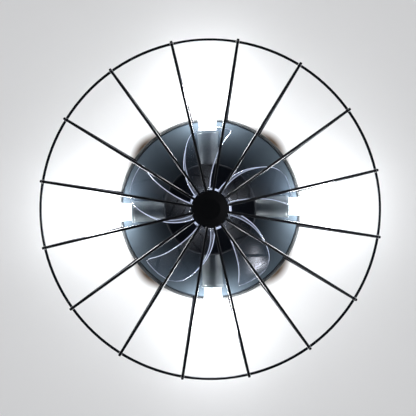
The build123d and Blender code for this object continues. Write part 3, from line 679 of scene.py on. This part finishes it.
def makeDustGroup():
    # A thin film of dust that gathers on faces turned upwards, and faintly everywhere.
    group, given, out = newGroup("dustFilm", {"Everywhere": 0.15, "On Top": 0.8}, ["Mask"])
    normal = addNode(group, "ShaderNodeNewGeometry").outputs["Normal"]
    parts = addNode(group, "ShaderNodeSeparateXYZ", Vector=normal)
    upward = mapRange(group, parts.outputs["Z"], *spans["upward"], 0.0, 1.0)
    place3d = addNode(group, "ShaderNodeTexCoord").outputs["Object"]
    speckScale, cloudScale = 900.0, 38.0
    specks = addNode(group, "ShaderNodeTexNoise", Vector=place3d, Scale=speckScale, Detail=2.0)
    clouds = addNode(group, "ShaderNodeTexNoise", Vector=place3d, Scale=cloudScale,
                     Detail=5.0, Roughness=0.65)
    patchy = mathNode(group, "MULTIPLY", mapRange(group, clouds.outputs[0], *spans["clouds"], 0.2, 1.0),
                      mapRange(group, specks.outputs[0], *spans["specks"], 0.5, 1.0))
    amount = mathNode(group, "ADD", given.outputs["Everywhere"],
                      mathNode(group, "MULTIPLY", upward, given.outputs["On Top"]))
    group.links.new(mathNode(group, "MULTIPLY", patchy, amount, clamp=True), out.inputs["Mask"])
    return group


def makePaintedLightGroup():
    # Painted light: a pale tone that grows outwards from the axis, standing in for the lamps' light falling
    # near them, and stops at a rounded edge.
    group, given, out = newGroup("rimPaintedLight", {"From": 0.07, "To": 0.134, "End": 0.1355}, ["Mask"])
    place3d = addNode(group, "ShaderNodeTexCoord").outputs["Object"]
    parts = addNode(group, "ShaderNodeSeparateXYZ", Vector=place3d)
    across = [mathNode(group, "MULTIPLY", parts.outputs[k], parts.outputs[k]) for k in (0, 1)]
    radius = mathNode(group, "SQRT", mathNode(group, "ADD", *across))
    rise = mapRange(group, radius, given.outputs["From"], given.outputs["To"], 0.0, 1.0)
    inside = mathNode(group, "LESS_THAN", radius, given.outputs["End"])
    patchScale, gathering = 22.0, 1.6
    patches = addNode(group, "ShaderNodeTexNoise", Vector=place3d, Scale=patchScale,
                      Detail=5.0, Roughness=0.6)
    uneven = mapRange(group, patches.outputs[0], *spans["paintedLightAndDust"], 0.85, 1.1)
    paintedLightAndDust = mathNode(group, "MULTIPLY", mathNode(group, "POWER", rise, gathering), uneven)
    group.links.new(mathNode(group, "MULTIPLY", paintedLightAndDust, inside, clamp=True), out.inputs["Mask"])
    return group


grainGroup = makeGrainGroup()
paintedLightGroup = makePaintedLightGroup()
wearGroup = makeWearGroup()
dustGroup = makeDustGroup()


def groupNode(tree, group, **values):
    node = tree.nodes.new("ShaderNodeGroup")
    node.node_tree = group
    for key, value in values.items():
        node.inputs[key.replace("_", " ")].default_value = value
    return node


def edgeLight(tree, look):
    # Painted glow: the clear plastic emits light of its own along its edges and its leading lip, standing in
    # for the lamps' light carried through it.
    fromEdge = addNode(tree, "ShaderNodeAttribute", {"attribute_name": "edgeDistance"}).outputs["Fac"]
    fromLip = addNode(tree, "ShaderNodeAttribute", {"attribute_name": "lipDistance"}).outputs["Fac"]
    shine = addNode(tree, "ShaderNodeAttribute", {"attribute_name": "edgeShine"}).outputs["Fac"]
    outlineFull, outlineGone = look["outline"]
    lineFull, lineGone = look["lipLine"]
    outline = mapRange(tree, fromEdge, outlineFull, outlineGone, 1.0, 0.0)
    outline = mathNode(tree, "MULTIPLY", shine, outline)
    line = mapRange(tree, mathNode(tree, "ABSOLUTE", fromLip), lineFull, lineGone, 1.0, 0.0)
    strip = mapRange(tree, fromLip, -look["stripSoft"], 0.0, look["strip"], 0.0)
    amount = mathNode(tree, "MAXIMUM", outline, mathNode(tree, "MULTIPLY", line, look["lipShare"]))
    amount = mathNode(tree, "MAXIMUM", amount, strip)
    return mixColour(tree, amount, (0.0, 0.0, 0.0, 1.0), look["edgeLight"] + (1.0,))


def lampGlow(tree, look):
    # The lit glass throws far more light than the eye sees on it, and dims towards its outline.
    facing = tree.nodes.new("ShaderNodeLayerWeight")
    middle, outline = look["seenGlow"]
    dimmed = mapRange(tree, facing.outputs["Facing"], look["dimFrom"], 1.0, middle, outline)
    bright = addNode(tree, "ShaderNodeCombineColor", Red=dimmed, Green=dimmed, Blue=dimmed)
    rays = tree.nodes.new("ShaderNodeLightPath")
    return mixColour(tree, rays.outputs["Is Camera Ray"], look["glow"] + (1.0,), bright.outputs[0])


usualLook = {
    "grainSize": 0.0008,
    "grainStrength": 0.2,
    "grainDeep": 0.00003,
    "driftSize": 0.03,
    "wear": 0.5,
    "wearWidth": 0.0006,
    "wearPolish": 0.1,           # worn paint is this much glossier
    "dustColour": (0.42, 0.40, 0.37),
    "dustMatte": 0.35,           # and dust this much duller
}


def makeFinish(name, ownLook):
    # A finish from its dictionary: two close colours, drifting gloss, grain, worn edges and dust.
    look = {**usualLook, **ownLook}
    material = bpy.data.materials.new(name)
    material.use_nodes = True
    tree = material.node_tree
    shader = tree.nodes["Principled BSDF"]
    grain = groupNode(tree, grainGroup, Size=look["grainSize"], Drift_Size=look["driftSize"])
    drift = grain.outputs["Drift"]
    colour = mixColour(tree, mapRange(tree, drift, *spans["drift"], 0.0, 1.0),
                       look["colour"] + (1.0,), look["secondColour"] + (1.0,))
    rough = mapRange(tree, drift, *spans["drift"], *look["rough"])
    if "wearColour" in look:
        worn = groupNode(tree, wearGroup, Width=look["wearWidth"]).outputs["Mask"]
        amount = mathNode(tree, "MULTIPLY", worn, look["wear"])
        colour = mixColour(tree, amount, colour, look["wearColour"] + (1.0,))
        polish = mathNode(tree, "MULTIPLY", amount, look["wearPolish"])
        rough = mathNode(tree, "SUBTRACT", rough, polish, clamp=True)
    # painted light: a paler colour outwards, where the lamps' light falls
    if "paintedLight" in look:
        start, full, end = look["paintedLight"]
        paintedLightAndDust = groupNode(tree, paintedLightGroup, From=start, To=full, End=end)
        colour = mixColour(tree, paintedLightAndDust.outputs["Mask"], colour, look["paintedLightColour"] + (1.0,))
    if "dust" in look:
        everywhere, onTop = look["dust"]
        paintedLightAndDust = groupNode(tree, dustGroup, Everywhere=everywhere, On_Top=onTop).outputs["Mask"]
        colour = mixColour(tree, paintedLightAndDust, colour, look["dustColour"] + (1.0,))
        matte = mathNode(tree, "MULTIPLY", paintedLightAndDust, look["dustMatte"])
        rough = mathNode(tree, "ADD", rough, matte, clamp=True)
    bump = addNode(tree, "ShaderNodeBump", Strength=look["grainStrength"],
                   Distance=look["grainDeep"], Height=grain.outputs["Height"])
    setSocket(tree, shader.inputs["Base Color"], colour)
    setSocket(tree, shader.inputs["Roughness"], rough)
    setSocket(tree, shader.inputs["Normal"], bump.outputs[0])
    if "edgeLight" in look:
        setSocket(tree, shader.inputs["Emission Color"], edgeLight(tree, look))
    if "glow" in look:
        setSocket(tree, shader.inputs["Emission Color"], lampGlow(tree, look))
    for key, value in look.get("fixed", {}).items():
        shader.inputs[key].default_value = value
    return material


finishes = {
    "canopyPaint": {
        "colour": (0.0040, 0.0055, 0.0080), "secondColour": (0.0060, 0.0080, 0.0110), "rough": (0.50, 0.60),
        "grainSize": 0.0006, "grainStrength": 0.20, "driftSize": 0.05,
        # painted light: the paint pales bluish towards the rim, a painted pool of the lamps' light
        "paintedLight": (0.066, 0.134, 0.1350), "paintedLightColour": (0.032, 0.042, 0.052),
        "dust": (0.001, 0.10), "fixed": {"IOR": 1.22, "Specular Tint": (0.70, 0.88, 1.0, 1.0)},
    },
    "housingPaint": {
        "colour": (0.0045, 0.0055, 0.008), "secondColour": (0.007, 0.008, 0.011), "rough": (0.56, 0.66),
        "grainSize": 0.0006, "grainStrength": 0.20, "driftSize": 0.04, "dust": (0.001, 0.10),
        "fixed": {"IOR": 1.15, "Specular Tint": (0.80, 0.92, 1.0, 1.0)},
    },
    # painted light: the hoop is the cage's black steel, painted a lighter grey to stand in for the lamps'
    # light on it
    "hoopPaintedLight": {
        "colour": (0.055, 0.060, 0.062), "secondColour": (0.070, 0.075, 0.077), "rough": (0.34, 0.44),
        "grainSize": 0.0008, "grainStrength": 0.15, "driftSize": 0.02, "wearColour": (0.16, 0.16, 0.17),
        "wear": 0.25, "dust": (0.002, 0.06), "fixed": {"IOR": 1.3},
    },
    # painted highlight: the weld beads are painted light grey to stand in for the lit blob where the wires
    # cross
    "weldPaintedHighlight": {
        "colour": (0.30, 0.295, 0.30), "secondColour": (0.22, 0.22, 0.225), "rough": (0.36, 0.50),
        "grainSize": 0.0007, "grainStrength": 0.4, "driftSize": 0.004, "fixed": {"Metallic": 0.3},
    },
    "wirePaint": {
        "colour": (0.0040, 0.0045, 0.0060), "secondColour": (0.0065, 0.0070, 0.0090), "rough": (0.13, 0.21),
        "grainSize": 0.0010, "grainStrength": 0.10, "driftSize": 0.012, "wearColour": (0.06, 0.06, 0.066),
        "wear": 0.12, "dust": (0.0005, 0.05), "fixed": {"IOR": 1.28, "Specular Tint": (0.88, 0.94, 1.0, 1.0)},
    },
    "discPaint": {
        "colour": (0.0022, 0.0024, 0.0032), "secondColour": (0.0035, 0.0037, 0.0048), "rough": (0.55, 0.66),
        "grainSize": 0.0005, "grainStrength": 0.30, "driftSize": 0.015, "wearColour": (0.06, 0.06, 0.065),
        "wear": 0.2, "dust": (0.0005, 0.08), "fixed": {"IOR": 1.30},
    },
    "blackScrews": {
        "colour": (0.020, 0.020, 0.022), "secondColour": (0.032, 0.031, 0.030), "rough": (0.38, 0.5),
        "grainSize": 0.0004, "wearColour": (0.30, 0.30, 0.31), "wear": 0.6, "fixed": {"Metallic": 0.6},
    },
    "zincSteel": {
        "colour": (0.58, 0.59, 0.62), "secondColour": (0.50, 0.50, 0.50), "rough": (0.24, 0.42),
        "grainSize": 0.0009, "driftSize": 0.006, "wearColour": (0.75, 0.75, 0.76), "wear": 0.5,
        "dust": (0.01, 0.10), "fixed": {"Metallic": 1.0},
    },
    "brightSteel": {
        "colour": (0.66, 0.66, 0.68), "secondColour": (0.60, 0.60, 0.62), "rough": (0.12, 0.2),
        "grainSize": 0.0003, "fixed": {"Metallic": 1.0},
    },
    "brass": {
        "colour": (0.78, 0.57, 0.25), "secondColour": (0.66, 0.45, 0.18), "rough": (0.2, 0.34),
        "grainSize": 0.0005, "driftSize": 0.008, "fixed": {"Metallic": 1.0},
    },
    "lampCap": {
        "colour": (0.70, 0.70, 0.70), "secondColour": (0.60, 0.60, 0.60), "rough": (0.22, 0.34),
        "grainSize": 0.0005, "driftSize": 0.006, "fixed": {"Metallic": 1.0},
    },
    "dieCast": {
        "colour": (0.52, 0.53, 0.55), "secondColour": (0.44, 0.45, 0.46), "rough": (0.42, 0.6),
        "grainSize": 0.0012, "grainStrength": 0.5, "driftSize": 0.01, "fixed": {"Metallic": 0.9},
    },
    "lamination": {
        "colour": (0.26, 0.27, 0.29), "secondColour": (0.18, 0.18, 0.19), "rough": (0.35, 0.5),
        "grainSize": 0.0006, "fixed": {"Metallic": 0.8},
    },
    "windingCopper": {
        "colour": (0.62, 0.24, 0.08), "secondColour": (0.50, 0.17, 0.05), "rough": (0.22, 0.36),
        "grainSize": 0.0006, "driftSize": 0.004, "fixed": {"Metallic": 0.85, "Coat Weight": 0.6},
    },
    "rubber": {
        "colour": (0.018, 0.018, 0.018), "secondColour": (0.03, 0.03, 0.03), "rough": (0.7, 0.85),
        "grainSize": 0.0006, "grainStrength": 0.4,
    },
    "holderPlastic": {
        # painted light: a bluish grey lighter than black phenolic, paling towards the mouths, stands in for
        # the lamps' light on the holders
        "colour": (0.055, 0.070, 0.078), "secondColour": (0.075, 0.092, 0.100), "rough": (0.36, 0.48),
        "paintedLight": (0.086, 0.127, 0.300), "paintedLightColour": (0.44, 0.52, 0.56),
        "grainSize": 0.0016, "grainStrength": 0.08, "driftSize": 0.012, "wearColour": (0.08, 0.08, 0.085),
        "wear": 0.25, "fixed": {"IOR": 1.6, "Coat Weight": 0.25, "Coat Roughness": 0.16},
    },
    "blackPlastic": {
        "colour": (0.016, 0.016, 0.018), "secondColour": (0.024, 0.024, 0.026), "rough": (0.38, 0.5),
        "grainSize": 0.0005, "grainStrength": 0.4, "wearColour": (0.08, 0.08, 0.085), "wear": 0.3,
    },
    "whitePlastic": {
        "colour": (0.80, 0.79, 0.75), "secondColour": (0.74, 0.72, 0.67), "rough": (0.32, 0.45),
        "grainSize": 0.0006, "dust": (0.02, 0.12), "fixed": {"Subsurface Weight": 0.05},
    },
    "greyPlastic": {
        "colour": (0.62, 0.63, 0.64), "secondColour": (0.56, 0.57, 0.58), "rough": (0.45, 0.6),
        "grainSize": 0.0004, "grainStrength": 0.5, "dust": (0.02, 0.15),
    },
    "circuitBoard": {
        "colour": (0.02, 0.16, 0.07), "secondColour": (0.03, 0.21, 0.09), "rough": (0.25, 0.4),
        "grainSize": 0.0008, "driftSize": 0.003,
    },
    "leadInsulation": {
        "colour": (0.74, 0.74, 0.71), "secondColour": (0.66, 0.65, 0.61), "rough": (0.35, 0.5),
        "grainSize": 0.0009, "dust": (0.02, 0.1),
    },
    "clearPlastic": {
        "colour": (0.90, 0.93, 0.98), "secondColour": (0.85, 0.89, 0.96), "rough": (0.02, 0.07),
        "grainSize": 0.006, "grainStrength": 0.03, "driftSize": 0.02,
        # painted glow along the blades' edges, leading lip and hub ring
        "edgeLight": (0.66, 0.74, 0.98), "outline": (0.0004, 0.0012), "lipLine": (0.0001, 0.0008),
        "lipShare": 0.45, "strip": 0.05, "stripSoft": 0.0006,
        "fixed": {"Transmission Weight": 1.0, "IOR": 1.5, "Emission Strength": 0.9},
    },
    "opalGlass": {
        "colour": (0.90, 0.90, 0.89), "secondColour": (0.86, 0.86, 0.85), "rough": (0.18, 0.26),
        "grainSize": 0.003, "grainStrength": 0.05,
        "glow": (0.97, 0.985, 1.0), "seenGlow": (0.020, 0.009), "dimFrom": 0.3,
        "fixed": {"Emission Strength": 44.0},
    },
}

finishOfSlot = {
    "black_steel": "canopyPaint", "black_screws": "blackScrews", "zinc_steel": "zincSteel",
    "bright_steel": "brightSteel", "brass": "brass", "lamp_cap": "lampCap", "die_cast": "dieCast",
    "lamination": "lamination", "winding_copper": "windingCopper", "rubber": "rubber",
    "black_phenolic": "holderPlastic", "black_plastic": "blackPlastic", "white_plastic": "whitePlastic",
    "grey_plastic": "greyPlastic", "circuit_board": "circuitBoard", "lead_insulation": "leadInsulation",
    "clear_plastic": "clearPlastic", "opal_glass": "opalGlass",
}

finishOfPiece = {
    "motor_housing": "housingPaint", "cage_disc": "discPaint",
    "cage_hoop": "hoopPaintedLight", "cageWelds": "weldPaintedHighlight",
}


def finishFor(name, slot):
    # Wires and tabs of the cage share one paint; a few pieces have their own.
    if name in finishOfPiece:
        return finishOfPiece[name]
    if name.startswith("cage_") and slot == "black_steel":
        return "wirePaint"
    return finishOfSlot[slot]


def dressAll():
    materials = {name: makeFinish(name, look) for name, look in finishes.items()}
    dressed = [(piece, slotOfNode[name]) for name, piece in nodes.items()]
    dressed += [(piece, piece["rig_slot"]) for piece in bpy.context.scene.objects
                if "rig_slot" in piece and "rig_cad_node" not in piece]
    for piece, slot in dressed:
        piece.data.materials.clear()
        piece.data.materials.append(materials[finishFor(piece.name, slot)])
    return materials


materials = dressAll()
print("finishes ready:", len(materials))


# Stage: a pale ceiling above the fan, and soft light

stage = {
    "ceilingHalf": 9.0,
    "ceilingGap": 0.0006,
    "ceilingColour": (0.25, 0.254, 0.26),
    "ceilingPale": 0.52,             # how white the ceiling looks before any light falls on it
    "ceilingRough": 0.9,
    "plasterScale": 160.0,
    "plasterStrength": 0.15,
    "plasterDeep": 0.001,
    "shadeColour": (0.085, 0.052, 0.030),
    "shadeRadius": 0.1450,           # warm shade between the lamps, just outside the hoop
    "shadeWide": 0.0145,
    "shadeLeast": 0.0004,
    "shadePower": 4.0,               # higher is a shorter crescent
    "shadeFull": 0.2,                # share of its width that is fully dark
    "floorLight": (0.022, 0.025, 0.032),
    "wallLight": (0.78, 0.81, 0.88),
    "wallPower": 2.6,                # higher keeps the walls' light nearer the ceiling
    "windowLight": (11.0, 11.0, 12.0),
    "windowWay": (0.766, 0.045, -0.643),
    "windowSharpness": 100.0,
    "curtain": (3.0, 26.0, 3.0),     # folds across the window's light
    "curtainDark": 0.35,
    "backdrop": (0.86, 0.87, 0.89),
    "softboxes": [((-2.6, 0.4, 1.1), 1.6, 18.0), ((0.2, 2.7, 1.1), 1.6, 10.0)],
}


def shadeMask(tree, values):
    # Four crescents, halfway between the lamps, where the sine of twice the angle peaks.
    place3d = addNode(tree, "ShaderNodeTexCoord").outputs["Object"]
    parts = addNode(tree, "ShaderNodeSeparateXYZ", Vector=place3d)
    squares = [mathNode(tree, "MULTIPLY", parts.outputs[k], parts.outputs[k]) for k in (0, 1)]
    total = mathNode(tree, "ADD", *squares)
    product = mathNode(tree, "MULTIPLY", mathNode(tree, "MULTIPLY", *squares), 4.0)
    between = mathNode(tree, "DIVIDE", product, mathNode(tree, "MULTIPLY", total, total))
    between = mathNode(tree, "POWER", between, values["shadePower"])
    outside = mathNode(tree, "SUBTRACT", mathNode(tree, "SQRT", total), values["shadeRadius"])
    wide = mathNode(tree, "MULTIPLY", between, values["shadeWide"])
    wide = mathNode(tree, "ADD", wide, values["shadeLeast"])
    reach = mathNode(tree, "DIVIDE", outside, wide)
    faded = mapRange(tree, reach, values["shadeFull"], 1.0, 1.0, 0.0)
    return mathNode(tree, "MULTIPLY", between, faded)


def makeCeiling(values):
    half, height = values["ceilingHalf"], cadHigh.z + values["ceilingGap"]
    corners = [(-half, -half, height), (-half, half, height), (half, half, height), (half, -half, height)]
    mesh = bpy.data.meshes.new("ceiling")
    mesh.from_pydata(corners, [], [(0, 1, 2, 3)])
    ceiling = bpy.data.objects.new("ceiling", mesh)
    bpy.context.scene.collection.objects.link(ceiling)
    material = bpy.data.materials.new("ceilingPlaster")
    material.use_nodes = True
    tree = material.node_tree
    shader = tree.nodes["Principled BSDF"]
    shader.inputs["Roughness"].default_value = values["ceilingRough"]
    shade = shadeMask(tree, values)
    setSocket(tree, shader.inputs["Base Color"],
              mixColour(tree, shade, values["ceilingColour"] + (1.0,), values["shadeColour"] + (1.0,)))
    pale = mixColour(tree, shade, (1.0, 1.0, 1.0, 1.0), (0.0, 0.0, 0.0, 1.0))
    setSocket(tree, shader.inputs["Emission Color"], pale)
    shader.inputs["Emission Strength"].default_value = values["ceilingPale"]
    plaster = addNode(tree, "ShaderNodeTexNoise", Scale=values["plasterScale"], Detail=6.0)
    bump = addNode(tree, "ShaderNodeBump", Strength=values["plasterStrength"],
                   Distance=values["plasterDeep"], Height=plaster.outputs[0])
    setSocket(tree, shader.inputs["Normal"], bump.outputs[0])
    clear = tree.nodes.new("ShaderNodeBsdfTransparent")
    fromAbove = addNode(tree, "ShaderNodeNewGeometry").outputs["Backfacing"]
    rays = tree.nodes.new("ShaderNodeLightPath")
    seen = mathNode(tree, "MAXIMUM", rays.outputs["Is Camera Ray"], rays.outputs["Is Glossy Ray"])
    seen = mathNode(tree, "MAXIMUM", seen, rays.outputs["Is Transmission Ray"])
    shown = mathNode(tree, "MULTIPLY", seen, mathNode(tree, "SUBTRACT", 1.0, fromAbove))
    mix = tree.nodes.new("ShaderNodeMixShader")
    setSocket(tree, mix.inputs[0], shown)
    tree.links.new(clear.outputs[0], mix.inputs[1])
    tree.links.new(shader.outputs[0], mix.inputs[2])
    tree.links.new(mix.outputs[0], tree.nodes["Material Output"].inputs["Surface"])
    mesh.materials.append(material)


def makeWorld(values):
    # A dim floor, pale walls and one soft window. The backdrop is pale wherever it is looked at.
    world = bpy.data.worlds.new("paleRoom")
    bpy.context.scene.world = world
    world.use_nodes = True
    tree = world.node_tree
    back = tree.nodes["Background"]
    way = addNode(tree, "ShaderNodeTexCoord").outputs["Generated"]
    height = addNode(tree, "ShaderNodeSeparateXYZ", Vector=way).outputs["Z"]
    wall = mathNode(tree, "POWER", mapRange(tree, height, -1.0, 0.0, 0.0, 1.0), values["wallPower"])
    room = mixColour(tree, wall, values["floorLight"] + (1.0,), values["wallLight"] + (1.0,))
    toWindow = addNode(tree, "ShaderNodeVectorMath", {"operation": "DOT_PRODUCT"})
    setSocket(tree, toWindow.inputs[0], way)
    toWindow.inputs[1].default_value = values["windowWay"]
    window = mathNode(tree, "MAXIMUM", toWindow.outputs["Value"], 0.0)
    window = mathNode(tree, "POWER", window, values["windowSharpness"])
    folds = addNode(tree, "ShaderNodeVectorMath", {"operation": "MULTIPLY"})
    setSocket(tree, folds.inputs[0], way)
    folds.inputs[1].default_value = values["curtain"]
    curtain = addNode(tree, "ShaderNodeTexNoise", Vector=folds.outputs[0], Scale=1.0, Detail=3.0)
    folded = mapRange(tree, curtain.outputs[0], *spans["folds"], values["curtainDark"], 1.0)
    window = mathNode(tree, "MULTIPLY", window, folded)
    room = mixColour(tree, window, room, values["windowLight"] + (1.0,))
    rays = tree.nodes.new("ShaderNodeLightPath")
    mirrored = mathNode(tree, "MINIMUM", rays.outputs["Glossy Depth"], 1.0)
    through = mathNode(tree, "SUBTRACT", rays.outputs["Is Transmission Ray"], mirrored, clamp=True)
    seen = mathNode(tree, "MAXIMUM", rays.outputs["Is Camera Ray"], through)
    setSocket(tree, back.inputs["Color"], mixColour(tree, seen, room, values["backdrop"] + (1.0,)))
    back.inputs["Strength"].default_value = 1.0


def makeSoftboxes(values):
    for k, (spot, size, power) in enumerate(values["softboxes"]):
        data = bpy.data.lights.new(f"softbox{k}", "AREA")
        data.size, data.energy = size, power
        lamp = bpy.data.objects.new(f"softbox{k}", data)
        lamp.location = spot
        lamp.rotation_euler = Vector(spot).to_track_quat("Z", "Y").to_euler()
        bpy.context.scene.collection.objects.link(lamp)


makeCeiling(stage)
makeWorld(stage)
makeSoftboxes(stage)
print("stage ready")
